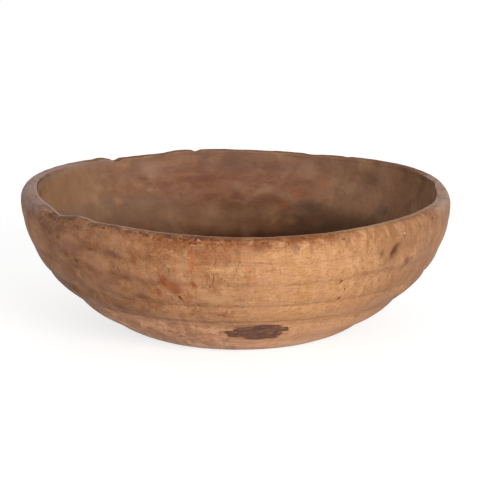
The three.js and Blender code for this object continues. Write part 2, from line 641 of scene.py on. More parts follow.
# The outside: honey brown, darker at both ends where the grain is cut across, with a figure of soft curl,
# short pores, and the stains, knots and scratches of long use
OUTSIDE = TurnedWood(
    name="maple, turned and handled, outside",
    light="#cf9b6e",
    dark="#c89464",
    stains=(
        # Broad change of tone, and pale lines and stripes in the figure
        Stain("#ad774d", 0.4, (40, 40, 30), (0.35, 0.7)),
        Stain("#e6ba8a", 0.3, (34, 1.6, 1.6), (0.52, 0.7), Space.GRAIN, 2.0),
        Stain("#e0b592", 0.14, (18, 18, 30), (0.4, 0.7), detail=1.5,
              span=Span(-58, 24, 44), band=Band(8, 70, 10, 30)),
        # Browned by handling at both ends, most on the left, and paler and pinker below the last groove,
        # partly painted light for the light that the floor throws up onto the lower wall
        Stain("#a4704f", 0.25, (60, 60, 40), (0.1, 0.4), span=Span(-140, 18, 48)),
        Stain("#714939", 0.58, (30, 30, 24), (0.15, 0.55), span=Span(-174, 26, 74)),
        Stain("#85604a", 0.6, (30, 30, 24), (0.2, 0.55), span=Span(-2, 24, 62)),
        Stain("#d6a67e", 0.8, (30, 30, 12), (0.1, 0.5),
              span=Span(-100, 50, 88), band=Band(110, 200, 20, 10)),
        Stain("#efb890", 0.82, (30, 30, 12), (0.1, 0.5),
              span=Span(-109, 26, 44), band=Band(98, 200, 14, 10)),
        Stain("#ecc8ac", 0.5, (20, 20, 8), (0.2, 0.6),
              span=Span(-100, 36, 62), band=Band(134, 200, 8, 10)),
        # Curl in the figure: soft, broken, upright stripes, strongest to the right of the front
        Stain("#a46e44", 0.22, (4.5, 4.5, 16), (0.45, 0.7)),
        Stain("#865434", 0.55, (5, 5, 12), (0.46, 0.62), detail=0.5,
              span=Span(-32, 20, 40), band=Band(1, 12, 2, 16)),
        # Dark grain lines, short pores and a fine speckle, drawn as coarse as they need to show
        Stain("#a06b40", 0.5, (38, 1.7, 1.7), (0.5, 0.68), Space.GRAIN, 2.0),
        Stain("#7c4d2d", 0.38, (6, 1.6, 1.6), (0.57, 0.72), Space.GRAIN, 2.0),
        Stain("#7a4c2e", 0.3, (2, 2, 2), (0.56, 0.74), Space.GRAIN, 1.0),
        # Red-brown clouds, small blotches and dark specks to the left of the front
        Stain("#7f4a30", 0.38, (14, 14, 12), (0.46, 0.64), span=Span(-126, 26, 46)),
        Stain("#8a4d2d", 0.34, (8, 8, 10), (0.5, 0.66), span=Span(-122, 26, 46)),
        Stain("#7a4024", 0.42, (4, 4, 4.5), (0.54, 0.68), span=Span(-130, 32, 52)),
        Stain("#452a20", 0.5, (3, 3, 3), (0.55, 0.72), span=Span(-134, 40, 60), band=Band(0, 90, 5, 15)),
        Stain("#c6916e", 0.5, (24, 24, 15), (0.44, 0.68), detail=1.5, span=Span(-122, 34, 56)),
        Stain("#7a5140", 0.3, (26, 26, 15), (0.44, 0.68), detail=1.5, span=Span(-136, 34, 56)),
        Stain("#a85c30", 0.4, (6, 6, 26), (0.5, 0.68), span=Span(-101, 6, 24), band=Band(0, 60, 25, 25)),
        # Dull spots
        Stain("#6a4b40", 0.35, (7, 7, 8), (0.62, 0.74)),
        # Grime from hands under the rim, with darker patches, and dark upright runs to the right
        Stain("#8a4f2a", 0.5, (9, 9, 10), (0.3, 0.6), span=Span(-105, 10, 20), band=Band(8, 20, 6, 8)),
        Stain("#7a3c15", 0.8, (10, 10, 8), (0.24, 0.54),
              span=Span(-86, 18, 32), band=Band(-2.6, 5, 0.5, 10)),
        Stain("#553422", 0.8, (9, 9, 5), (0.38, 0.6),
              span=Span(-128, 26, 44), band=Band(-3.4, 1.5, 0.4, 5)),
        Stain("#4e2a17", 0.6, (4.5, 4.5, 3.5), (0.5, 0.64),
              span=Span(-118, 32, 50), band=Band(-2.6, 4, 0.5, 7)),
        Stain("#7a4a2c", 0.28, (3.6, 3.6, 12), (0.5, 0.66),
              span=Span(-40, 28, 55), band=Band(0, 12, 0.4, 10)),
        Stain("#56240f", 0.6, (3, 3, 2), (0.54, 0.66),
              span=Span(-84, 18, 34), band=Band(-2.6, 7, 0.5, 9)),
        Stain("#c79a76", 0.4, (3, 3, 1.8), (0.58, 0.7), span=Span(-94, 34, 55), band=Band(-1, 8, 0.5, 8)),
        # Crest: worn pale along the front, dark along the back
        Stain("#a8704c", 0.8, (14, 14, 6), (0.1, 0.5),
              span=Span(-90, 62, 80), band=Band(-6, -3.4, 1, 0.6)),
        Stain("#d0a88c", 0.85, (16, 16, 4), (0.25, 0.5),
              span=Span(-126, 22, 38), band=Band(-6, -3.7, 1, 0.5)),
        Stain("#6b4229", 0.88, (14, 14, 6), (0.1, 0.5), span=Span(84, 60, 82), band=Band(-6, 2, 1, 4)),
        # Grey film at both ends, partly painted sheen for the grey gloss of the rim at a grazing angle,
        # rubbed through in spots, and rubbed bright along the left's inner edge
        Stain("#aa9088", 0.8, (16, 16, 9), (0.2, 0.5), span=Span(173, 24, 40), band=Band(-6, 4, 1, 10)),
        Stain("#b0968a", 0.75, (10, 10, 7), (0.25, 0.55), span=Span(-1, 15, 25), band=Band(-6, 4, 1, 9)),
        Stain("#6b4c3f", 0.5, (5, 5, 3.5), (0.5, 0.66), span=Span(180, 30, 50), band=Band(-6, 12, 1, 6)),
        Stain("#7a5a4a", 0.5, (5, 5, 3.5), (0.52, 0.68), span=Span(-5, 25, 45), band=Band(-6, 12, 1, 6)),
        Stain("#b69a8b", 0.6, (12, 12, 4), (0.2, 0.5),
              span=Span(-166, 13, 24), band=Band(-6, -3.2, 1, 0.8)),
        Stain("#b5937c", 0.6, (10, 10, 4), (0.3, 0.6), span=Span(-36, 18, 30), band=Band(-6, -2, 1, 1)),
        Stain("#c79a7a", 0.35, (2.6, 2.6, 2.6), (0.55, 0.7),
              span=Span(-134, 42, 62), band=Band(0, 90, 5, 15)),
        # Browner low down on the left
        Stain("#6a4836", 0.5, (30, 30, 20), (0.1, 0.5),
              span=Span(-172, 16, 34), band=Band(70, 160, 20, 10)),
        # Mottled figure to the right of the front
        Stain("#7d5138", 0.3, (6, 6, 5), (0.52, 0.68), span=Span(-33, 20, 36), band=Band(10, 50, 8, 20)),
        # The curl again, wider and fainter, further down on the right
        Stain("#8f5f3e", 0.34, (5.5, 5.5, 20), (0.46, 0.62), detail=0.5,
              span=Span(-30, 16, 32), band=Band(14, 58, 10, 26)),
        # Underside of the foot, where the clouds follow the solid wood
        Stain("#b98961", 1.0, (60, 60, 60), (0.0, 0.05), Space.GRAIN, band=UNDERSIDE),
        Stain("#8a5f40", 0.5, (40, 40, 40), (0.4, 0.65), Space.GRAIN, band=UNDERSIDE),
        Stain("#8c5c38", 0.5, (38, 1.7, 1.7), (0.5, 0.68), Space.GRAIN, 2.0, band=UNDERSIDE),
    ),
    marks=(
        # Scar: its body in two ovals, its darker top and streaks, and the slit at its foot with a splinter
        Mark(-107.7, 70, 6.4, 10.5, "#a0643f", 0.9, lean=-40, core=0.5, depth=0.1),
        Mark(-106.8, 69.8, 6.0, 8.0, "#9c5f3c", 0.75, lean=-38, core=0.6),
        Mark(-109.2, 77, 4.8, 4.2, "#924c2a", 0.8, lean=-30, core=0.2),
        Mark(-109.6, 73.5, 1.6, 7, "#7a3c1f", 0.75, lean=-40, core=0.0),
        Mark(-106.3, 67.5, 1.4, 6, "#84482b", 0.55, lean=-38, core=0.0),
        Mark(-105.6, 60.3, 2.0, 4.8, "#70300f", 0.9, lean=-34, core=0.5, depth=0.15),
        Mark(-105.3, 59.2, 1, 2.8, "#b07a52", 0.8, lean=-34),
        # Flecks and blotches round it
        Mark(-101.3, 73.5, 3.4, 6.5, "#8c4a28", 0.85, lean=-28, core=0.1),
        Mark(-101, 94, 7, 14, "#a8582c", 0.4, core=0.1),
        Mark(-111.8, 64.5, 4.5, 6, "#80492c", 0.6, lean=-30, core=0.1),
        Mark(-116.9, 59, 9, 6, "#7a4f3e", 0.55, lean=20, core=0.1),
        Mark(-116, 73, 11, 4.5, "#7d4e33", 0.5, lean=25, core=0.1),
        Mark(-128, 43.5, 7, 4.5, "#74432e", 0.6, lean=25),
        Mark(-125, 76, 9, 2.6, "#7a4a30", 0.45),
        Mark(-126, 68, 8, 5, "#80503f", 0.4),
        Mark(-123.4, 92.5, 9, 4.2, "#65483d", 0.6, lean=15, core=0.2),
        # Dark spots and smudges on the left
        Mark(-137.3, 80.3, 4, 3, "#4c2f25", 0.6, core=0.0),
        Mark(-143.5, 97, 4, 3.4, "#4c2f25", 0.6, core=0.0),
        Mark(-147, 99.5, 4, 3, "#4c2f25", 0.55, core=0.0),
        Mark(-130.6, 93, 4, 2.2, "#54352a", 0.6, core=0.0),
        Mark(-117.4, 88.8, 3, 1.8, "#6a4432", 0.5),
        Mark(-142, 103, 9, 5, "#6a4434", 0.45, core=0.0),
        Mark(-131.5, 86, 8, 5, "#74482f", 0.4, core=0.0),
        Mark(-107.5, 95, 6, 6, "#8a5636", 0.4, core=0.0),
        Mark(-133, 20, 5, 2.5, "#6b4636", 0.6, lean=15),
        Mark(-124, 22.5, 4.5, 2.2, "#74503e", 0.6, lean=15),
        # Knot with its tail, and the smudges round it
        Mark(-43.8, 91.5, 8, 13, "#74452a", 0.55, lean=34, core=0.0),
        Mark(-44.5, 90.5, 4.4, 10.5, "#4e2e1f", 0.85, lean=36, core=0.15, depth=0.5),
        Mark(-49.2, 90.4, 5, 7, "#6e4a32", 0.7, core=0.0),
        Mark(-38, 78.3, 4.5, 8, "#664332", 0.7, lean=-24, core=0.1),
        Mark(-44, 29.7, 5, 2.4, "#7a543e", 0.55),
        # Slit, worm hole, nick and dots right of the front
        Mark(-60.8, 71.6, 1.6, 3.4, "#66351d", 0.9, lean=60, depth=0.4),
        Mark(-59, 64, 1, 1.2, "#5a3220", 0.9, depth=0.4),
        Mark(-60, 56.5, 2, 3.2, "#7a4626", 0.7, lean=-30),
        Mark(-73.5, 57, 1, 1, "#4a3226", 0.8),
        Mark(-73, 73, 1, 1, "#8a3a1e", 0.7),
        Mark(-68.6, 74, 1.6, 0.9, "#7a6a50", 0.6),
        Mark(-67, 74.3, 1.2, 0.9, "#7a6a50", 0.6),
        # Scratch down the front in two lengths, its hook and tick, and a hairline
        Mark(-95.2, 94, 0.7, 8.5, "#8a4a2a", 0.55, lean=6),
        Mark(-95.9, 79, 0.7, 8, "#6e4127", 0.7, lean=6, depth=0.1),
        Mark(-96.8, 71.6, 1.8, 0.7, "#6a4530", 0.7),
        Mark(-98.5, 71.4, 4.4, 1.9, "#86603f", 0.65, core=0.1),
        Mark(-78.7, 85, 0.5, 9.5, "#8a5a38", 0.5),
        # Dirt and smudges under the rim
        Mark(-118.6, 111.4, 6, 2.2, "#573420", 0.6),
        Mark(-113.6, 111.2, 5, 2, "#573420", 0.6),
        Mark(-109.8, 108.8, 4, 1.6, "#6a4028", 0.6, lean=-20),
        Mark(-84, 106, 11, 6, "#7a4526", 0.6, core=0.2),
        Mark(-74.8, 104, 5, 8, "#7d5b48", 0.55, lean=-20, core=0.0),
        Mark(-70.6, 103, 3, 7, "#7d5b48", 0.55, lean=-15, core=0.0),
        Mark(-83, 110, 3, 1.8, "#4e2c1a", 0.6),
        Mark(-73.7, 104, 1.6, 1.4, "#5a3826", 0.6),
        Mark(-61.5, 108.6, 2.4, 1.6, "#4e2c1a", 0.6),
        Mark(-26.6, 107, 2, 1.6, "#4e2f20", 0.6),
        Mark(-23, 106, 1.6, 1.4, "#4e2f20", 0.6),
        # Pale blotches on the left, pale specks and a pale line
        Mark(-145.5, 85.5, 10, 8, "#a98270", 0.55, core=0.0),
        Mark(-140, 73, 8, 7, "#9a7058", 0.4, core=0.0),
        Mark(-114, 98, 6, 6, "#c08c62", 0.4, core=0.0),
        Mark(-111.8, 76, 5, 5, "#c08c62", 0.45, core=0.0),
        Mark(-99.4, 110.6, 2.4, 1.1, "#d8b092", 0.45),
        Mark(-100.4, 106.4, 4.5, 0.6, "#d9a67c", 0.5),
        Mark(-41, 103.5, 1.3, 1.8, "#d6bda4", 0.6),
        # Clouds and smudges on the left, under the rim and on the lower front, and a painted highlight, a
        # pale warm patch in the middle of the front
        Mark(-134.8, 108, 11, 4.5, "#5c3c2c", 0.55, core=0.0),
        Mark(-120.1, 109.6, 16, 3.6, "#74482f", 0.55, core=0.0),
        Mark(-85.2, 111.8, 8, 2.4, "#6a3c22", 0.6, core=0.0),
        Mark(-119.6, 93.4, 7, 5, "#bb8a68", 0.5, core=0.0),
        Mark(-128.4, 53, 12, 6, "#b08465", 0.5, core=0.0),
        Mark(-95.4, 61, 26, 10, "#dcab7a", 0.4, core=0.0),
        Mark(-102.2, 31.1, 16, 5, "#8a5e46", 0.45, core=0.0),
        Mark(-121, 74, 14, 6, "#74462c", 0.45, core=0.0),
        Mark(-117.5, 57.5, 12, 5, "#6e442e", 0.45, core=0.0),
        # Clouds round the knot, and browned lengths of the groove below it
        Mark(-53, 76, 26, 3.6, "#8e5a38", 0.5, core=0.0),
        Mark(-45.5, 76.2, 12, 3.2, "#8a583a", 0.5, core=0.0),
        Mark(-47.1, 84.4, 12, 9, "#8a5f43", 0.45, core=0.0),
        Mark(-57.7, 98, 7, 14, "#a4704e", 0.45, core=0.0),
        Mark(-37.8, 77.1, 9, 6, "#76513d", 0.5, core=0.0),
        # Grey smudges at the right end
        Mark(-26.2, 87.5, 6, 7, "#77604f", 0.5, lean=20, core=0.0),
        Mark(-25.4, 77, 6, 9, "#80695a", 0.42, lean=30, core=0.0),
        Mark(-28.6, 71, 6, 6, "#8e7462", 0.42, core=0.0),
        Mark(-35.9, 79.4, 3.5, 3.4, "#6a4936", 0.5, core=0.0),
        # Wood stained by the bark round it and at its right end, and darker still above it along the groove's
        # bottom
        Mark(-83.5, 25, 30, 17, "#8e5a3a", 0.4, core=0.7),
        Mark(-86, 32.5, 34, 6, "#7c4f3a", 0.55, core=0.3),
        Mark(-96, 25.5, 4.5, 1.3, "#7e4a30", 0.75),
        Mark(-81, 17, 16, 3, "#a0603a", 0.45),
        Mark(-72.5, 22, 6, 3.5, "#a86a3e", 0.5),
    ),
    reliefs=(
        Relief((9, 0.8, 0.8), 0.1),
        Relief((4, 4, 4), 0.09),
        Relief((60, 60, 2.4), 0.1, Space.TURNED),
    ),
)

# The hollow: the same wood, darkened by food and washing in soft clouds, reddish at the back and dark at the
# floor, with painted shadow low on the far wall where the near rim shades it
HOLLOW = TurnedWood(
    name="maple, turned and stained by use, hollow",
    light="#ab8164",
    dark="#a87e61",
    roughness=(0.65, 0.85),
    specular=0.05,
    stains=(
        # Soft clouds, faint wide streaks and pores
        Stain("#8d6650", 0.45, (45, 45, 30), (0.35, 0.68)),
        Stain("#6f5140", 0.35, (24, 24, 20), (0.46, 0.64)),
        Stain("#bd9877", 0.35, (22, 22, 20), (0.5, 0.68)),
        Stain("#7d523b", 0.25, (18, 18, 22), (0.45, 0.7), detail=2.0),
        Stain("#6a4530", 0.25, (7, 1.6, 1.6), (0.55, 0.72), Space.GRAIN, 2.0),
        # Red-brown back with level streaks, mauve above it
        Stain("#7b4833", 0.55, (30, 30, 14), (0.3, 0.6),
              span=Span(97, 18, 42), band=Band(12, 44, 10, 14)),
        Stain("#7b5c50", 0.5, (30, 30, 16), (0.3, 0.6), span=Span(95, 22, 50), band=Band(2, 14, 3, 10)),
        Stain("#59362b", 0.28, (22, 22, 8), (0.5, 0.68), span=Span(102, 26, 50), band=Band(8, 46, 8, 12)),
        Stain("#a3735a", 0.35, (22, 22, 6), (0.5, 0.7), span=Span(102, 32, 60), band=Band(5, 46, 5, 12)),
        # Tan on the left, grey below it
        Stain("#8c6848", 0.45, (40, 40, 40), (0.3, 0.6),
              span=Span(158, 16, 40), band=Band(10, 60, 10, 30)),
        Stain("#806a59", 0.5, (26, 26, 20), (0.3, 0.6),
              span=Span(140, 18, 40), band=Band(40, 90, 12, 30)),
        # Painted shadow low down, where the near rim shades the far wall, deepest at the back and to the
        # right
        Stain("#552f18", 0.66, (40, 40, 30), (0.05, 0.5), detail=1.5, band=Band(72, 240, 42, 10)),
        Stain("#301303", 0.78, (50, 50, 30), (0.05, 0.4), detail=1.5,
              span=Span(76, 22, 46), band=Band(82, 112, 14, 34)),
        Stain("#36251a", 0.68, (50, 50, 30), (0.05, 0.4), detail=1.5,
              span=Span(52, 12, 25), band=Band(62, 104, 24, 34)),
        # Grey film that runs over the worn inner edge, and a dark line of grime at it, on the left
        Stain("#957b6c", 0.6, (14, 14, 8), (0.2, 0.5), span=Span(162, 20, 40), band=Band(-6, 1.5, 1, 7)),
        Stain("#4a3226", 0.6, (12, 12, 4), (0.25, 0.6), span=Span(-165, 25, 50), band=Band(-6, 1, 1, 4)),
        # Floor, where the clouds follow the solid wood, with fine cuts along the grain
        Stain("#6b4733", 1.0, (60, 60, 60), (0.0, 0.05), Space.GRAIN, band=FLOOR),
        Stain("#49301f", 0.5, (40, 40, 40), (0.4, 0.65), Space.GRAIN, band=FLOOR),
        Stain("#86624a", 0.35, (18, 18, 18), (0.5, 0.7), Space.GRAIN, band=FLOOR),
        Stain("#2f1b10", 0.4, (32, 1.6, 1.6), (0.54, 0.7), Space.GRAIN, 2.0, band=Band(120, 400, 30, 10)),
    ),
    marks=(
        # Streaks and clouds on the back, with painted shadow in the dark clouds low down on the back and to
        # the right
        Mark(101, 88, 33, 4.5, "#6b4236", 0.4),
        Mark(98.5, 78, 14, 4, "#9a6a50", 0.35),
        Mark(92, 103, 12, 8, "#6e5048", 0.4, core=0.0),
        Mark(90, 65, 36, 10, "#5a3420", 0.56, core=0.0),
        Mark(66, 68, 24, 9, "#463329", 0.55, core=0.0),
        Mark(44.5, 96, 26, 14, "#57402f", 0.42, core=0.0),
        Mark(74, 68.5, 7, 5, "#9a5a32", 0.62, core=0.0),
        Mark(70, 77.5, 10, 6, "#a05e38", 0.6, core=0.0),
        Mark(62.5, 88, 12, 8, "#a8694c", 0.5, core=0.0),
        Mark(67.5, 99, 15, 13, "#bd9478", 0.45, core=0.0),
        Mark(117, 101, 18, 11, "#b08a74", 0.6, core=0.0),
        Mark(98, 97, 12, 8, "#a07a66", 0.35, core=0.0),
        Mark(80, 70.5, 14, 8, "#5e3a28", 0.35, core=0.0),
        Mark(74, 71, 9, 7, "#6e4128", 0.35, core=0.0),
        Mark(172, 98, 16, 10, "#5c4230", 0.45, core=0.0),
        Mark(36.7, 72.6, 18, 9, "#5e4e47", 0.4, core=0.0),
        Mark(64.9, 58.5, 14, 6, "#5e3319", 0.4, core=0.0),
        # Paler streaks low down, and a paler lower wall left of the middle
        Mark(103.4, 54, 22, 8, "#94694b", 0.45, core=0.0),
        Mark(77, 55.5, 4, 11, "#936845", 0.55, lean=-42, core=0.0),
        Mark(71, 56, 10, 6, "#8a6142", 0.6, core=0.0),
        Mark(130.5, 76.5, 9, 6, "#b08562", 0.55, core=0.1),
        Mark(143, 74, 16, 10, "#75584a", 0.35),
    ),
    reliefs=(
        Relief((9, 0.8, 0.8), 0.06),
        Relief((5, 5, 5), 0.15),
    ),
)


@dataclass(frozen=True)
class Groove:
    """Ring between two passes of the turning tool, hollowed softly over its spread, with dirt and painted
    shade in it.
    """

    height: float
    depth: float
    spread: float
    # Cover of the dirt and painted shade, which stands for the shade under the overhang just above the
    # groove, its height above the groove's bottom, how far it fades upwards and downwards, and the part of
    # the way round where it lies, if not all
    dirt_and_shade: float = 0.0
    dirt_and_shade_rise: float = 0.0
    dirt_and_shade_above: float = 1 * MM
    dirt_and_shade_below: float = 3 * MM
    dirt_and_shade_span: Span | None = None


@dataclass(frozen=True)
class Wear:
    """Uneven stretch of the rim: its angle and half its width in degrees, and its depth, negative if proud.

    The depth dies away to either side of the angle.
    """

    angle: float
    width: float
    depth: float

    def at(self, angles: np.ndarray, power: int = 2) -> np.ndarray:
        """Depth at angles in radians: the greater the power, the squarer the stretch's ends."""
        return self.depth * np.exp(-(angle_between(angles, self.angle) / self.width) ** power)


@dataclass(frozen=True)
class Dent:
    """Gouge in the outside wall: its place, half its width and length, its lean in degrees and its depth."""

    angle: float
    height: float
    width: float
    length: float
    lean: float
    depth: float


@dataclass(frozen=True)
class Lumps:
    """Clouds that press a surface in: their name, their size and their depth."""

    name: str
    size: float
    depth: float

    def press(self, piece: bpy.types.Object, group: str) -> None:
        """Presses the clouds into a piece.

        Args:
            piece: Mesh object.
            group: Vertex group whose weights say how far they go in.
        """
        clouds = bpy.data.textures.new(self.name, "CLOUDS")
        clouds.noise_scale = self.size
        apply_modifier(
            piece, "DISPLACE", texture=clouds, texture_coords="LOCAL", strength=self.depth, mid_level=1.0,
            vertex_group=group,
        )


@dataclass
class Bowl:
    """The bowl: turned in one piece, then dried out of round, worn and dented."""

    foot_radius: float = 82.5 * MM
    # Depth of the foot's hollow, and the exponent that keeps it level up to near the foot's edge
    foot_hollow: float = 0.8 * MM
    foot_levelness: int = 6
    belly_radius: float = 174 * MM
    belly_height: float = 102.5 * MM
    belly_fullness: float = 0.77
    grooves: tuple[Groove, ...] = (
        Groove(11.5 * MM, 4 * MM, 5.5 * MM),
        Groove(31.5 * MM, 5.5 * MM, 11 * MM, 0.46, 6.5 * MM, 1.4 * MM, 5 * MM, Span(-112, 26, 66)),
        Groove(53 * MM, 1.6 * MM, 3 * MM, 0.26, 1 * MM, 2 * MM, 2.5 * MM),
        Groove(70.5 * MM, 1.8 * MM, 15 * MM, 0.2, 3.5 * MM, 4 * MM, 4 * MM),
        Groove(91 * MM, 0.6 * MM, 5 * MM, 0.12, 1 * MM, 3 * MM, 3 * MM),
    )
    groove_rounding: float = 1.2 * MM
    # Colour of the dirt and painted shade in the grooves, the size of its clouds in millimetres, and their
    # levels
    dirt_and_shade_colour: str = "#6b4029"
    dirt_and_shade_size: tuple[float, float, float] = (18, 18, 6)
    dirt_and_shade_cut: tuple[float, float] = (0.22, 0.58)
    rim_rise: float = 9.9 * MM
    rim_roll: float = 7 * MM
    rim_crest: float = 4.4 * MM
    roll_squareness: float = 0.75
    floor_thickness: float = 14 * MM
    hollow_straightness: float = 2.2
    hollow_fullness: float = 0.45
    shrinkage_across_grain: float = 0.025
    rim_shift: float = -2.7 * MM
    rim_tilt: float = 1.55 * MM
    rim_saddle: float = 1.5 * MM
    warp_angle: float = 8.0
    lift_start: float = 30 * MM
    rim_wear: tuple[Wear, ...] = (
        Wear(-147, 4.5, 3.4 * MM),
        Wear(-4, 14, 1.3 * MM),
        Wear(66, 15, 1.6 * MM),
        Wear(122, 12, 2.6 * MM),
    )
    # Chips and swellings of the crest alone
    chips: tuple[Wear, ...] = (
        Wear(-172, 18, 0.15 * MM),
        Wear(160, 12, -0.3 * MM),
        Wear(133.3, 2, -0.8 * MM),
        Wear(128.2, 1.7, 2.1 * MM),
        Wear(112.8, 2.2, 0.6 * MM),
        Wear(106.8, 2.5, -0.5 * MM),
        Wear(101.8, 1, 1.3 * MM),
        Wear(85, 7, 0.5 * MM),
        Wear(67, 2.5, 0.8 * MM),
        Wear(55.8, 1.2, 0.4 * MM),
        Wear(24, 16, -0.7 * MM),
        Wear(-48, 12, -0.5 * MM),
        Wear(-88, 10, 0.4 * MM),
        Wear(-121, 6, -0.5 * MM),
        Wear(-130.8, 1.2, 0.5 * MM),
        Wear(-136.5, 3, -0.9 * MM),
    )
    chip_reach: float = 5 * MM
    # Exponent of a chip's ends: the greater, the squarer
    chip_squareness: int = 4
    # Where the crest's inner edge runs further out, or further in if below nought
    mouth: tuple[Wear, ...] = (
        Wear(-174, 17, -2.6 * MM),
        Wear(9.5, 3, 2.4 * MM),
        Wear(-16, 6, 1 * MM),
    )
    mouth_reach: float = 14 * MM
    # Where the inner edge is worn round, how far, and how far from the edge that reaches
    edge_wear: tuple[Wear, ...] = (
        Wear(155, 24, 1.7 * MM),
        Wear(70, 40, 0.4 * MM),
    )
    edge_reach: float = 4.2 * MM
    # Roughness of the crest: its depth and the size of its lumps
    crest_rough: float = 0.25 * MM
    crest_lump: float = 7 * MM
    dents: tuple[Dent, ...] = (
        Dent(-107.8, 68 * MM, 4.5 * MM, 13 * MM, -16, 0.5 * MM),
        Dent(-44.5, 90.6 * MM, 2.6 * MM, 7 * MM, 34, 1.1 * MM),
        Dent(-60.8, 71.6 * MM, 1.6 * MM, 3.4 * MM, 60, 0.5 * MM),
    )
    # Wear of the walls, and the share of it that reaches the crest
    wear: tuple[Lumps, ...] = (
        Lumps("broad wear", 34 * MM, 0.5 * MM),
        Lumps("small dents", 9 * MM, 0.25 * MM),
    )
    crest_share: float = 0.2
    foot_rows: int = 14
    wall_rows: int = 92
    roll_rows: int = 14
    crest_rows: int = 5
    hollow_rows: int = 84
    # Rows of the hollow stand closer under the rim
    hollow_crowding: float = 1.5
    turn_steps: int = 440
    # Points of the outline before it is divided, and how much closer they stand near the hollow's floor
    fine_points: int = 2000
    fine_crowding: int = 3
    smooth_angle: float = 40.0
    height: float = field(init=False)
    rim_inner_radius: float = field(init=False)
    # Rows of the crest's outer corner and inner edge
    crest_row: int = field(init=False)
    hollow_row: int = field(init=False)
    # Rows of the outside wall and of the hollow, from the lowest up
    wall_side: slice = field(init=False)
    hollow_side: slice = field(init=False)
    outline: np.ndarray = field(init=False)
    drops: np.ndarray = field(init=False)

    def __post_init__(self) -> None:
        """Works out the sizes that follow from the driving ones."""
        self.height = self.belly_height + self.rim_rise
        self.rim_inner_radius = self.belly_radius - self.rim_roll - self.rim_crest
        self.crest_row = self.foot_rows + self.wall_rows + self.roll_rows
        self.hollow_row = self.crest_row + self.crest_rows
        self.wall_side = slice(self.foot_rows, self.crest_row + 1)
        self.hollow_side = slice(None, self.hollow_row, -1)
        self.outline = self._outline()
        self.drops = self._drops()

    def wall_radius(self, height: np.ndarray | float) -> np.ndarray | float:
        """Radius of the outside wall as turned.

        Args:
            height: Height, from the foot to the belly.

        Returns:
            Radius at that height.
        """
        swell = (1 - (1 - height / self.belly_height) ** 2) ** self.belly_fullness
        radius = self.foot_radius + (self.belly_radius - self.foot_radius) * swell
        for groove in self.grooves:
            away = np.hypot(height - groove.height, self.groove_rounding) - self.groove_rounding
            radius = radius - groove.depth * np.exp(-away / groove.spread)
        return radius

    def _outline(self) -> np.ndarray:
        """Half section: the foot, the outside wall, the roll of the rim, its crest and the hollow.

        Returns:
            One row of radius and height for each point, from the foot's middle to the floor's.
        """
        share = np.linspace(0.0, 1.0, self.fine_points)
        foot_edge = self.wall_radius(0.0)
        foot = (foot_edge * share, self.foot_hollow * (1 - share ** self.foot_levelness))
        wall = (self.wall_radius(self.belly_height * share), self.belly_height * share)
        crest_radius = self.rim_inner_radius + self.rim_crest
        roll = self.wall_radius(self.belly_height) - crest_radius
        turn = share * math.pi / 2
        rim = (
            crest_radius + roll * np.maximum(0.0, np.cos(turn)) ** self.roll_squareness,
            self.belly_height + self.rim_rise * np.sin(turn) ** self.roll_squareness,
        )
        crest = (crest_radius - self.rim_crest * share, np.full_like(share, self.height))
        rise = (1 - share) ** self.fine_crowding
        hollow = (
            self.rim_inner_radius * (1 - (1 - rise) ** self.hollow_straightness) ** self.hollow_fullness,
            self.floor_thickness + (self.height - self.floor_thickness) * rise,
        )
        points = [(0.0, self.foot_hollow)]
        for (radii, heights), steps, crowding in (
            (foot, self.foot_rows, EVEN),
            (wall, self.wall_rows, EVEN),
            (rim, self.roll_rows, EVEN),
            (crest, self.crest_rows, EVEN),
            (hollow, self.hollow_rows, self.hollow_crowding),
        ):
            points += divide(radii, heights, steps, crowding)
        return np.array(points)

    def _drops(self) -> np.ndarray:
        """Way down the outside from the crest's outer corner, and down the hollow from its inner edge.

        Returns:
            One length for each row of the outline, below nought on the crest.
        """
        steps = np.hypot(*np.diff(self.outline, axis=0).T)
        along = np.concatenate([[0.0], np.cumsum(steps)])
        outside = along[self.crest_row] - along
        inside = along - along[self.hollow_row]
        return np.where(np.arange(len(along)) > self.hollow_row, inside, outside)

    def place_on(self, side: slice, angle: float, height: float) -> Vector:
        """Turned coordinates of a place on the outside wall or in the hollow.

        Args:
            side: Rows of that side, from the lowest up.
            angle: Angle round the bowl, in degrees.
            height: Height as turned.

        Returns:
            The angle as a place on the belly's circle, and the way down from the rim.
        """
        turn = math.radians(angle)
        drop = np.interp(height, self.outline[side, 1], self.drops[side])
        return Vector((self.belly_radius * math.cos(turn), self.belly_radius * math.sin(turn), drop))

    def rim_lift(self, angles: np.ndarray) -> np.ndarray:
        """How far the rim stands above its mean height.

        Args:
            angles: Angles round the bowl, in radians.

        Returns:
            Lift at each angle.
        """
        warp = angles - math.radians(self.warp_angle)
        lift = self.rim_saddle * np.cos(2 * warp) - self.rim_tilt * np.cos(warp)
        for wear in self.rim_wear:
            lift = lift - wear.at(angles)
        return lift

    def dry(self, points: np.ndarray) -> np.ndarray:
        """Moves points of the bowl as turned to their places on the dried bowl.

        Args:
            points: One row of x, y and z for each point.

        Returns:
            The moved points.
        """
        x, y, z = points.T
        rise = np.maximum(0.0, z - self.lift_start) / (self.height - self.lift_start)
        lift = self.rim_lift(np.arctan2(y, x)) * rise ** 2
        shift = self.rim_shift * z / self.height
        return np.stack([x + shift, y * (1 - self.shrinkage_across_grain), z + lift], axis=1)

    def build(self) -> bpy.types.Object:
        """Models the bowl.

        Returns:
            The bowl, whole, with no seat for the bark yet.
        """
        piece = self._turn()
        self._shape(piece)
        self._handle(piece)
        return piece

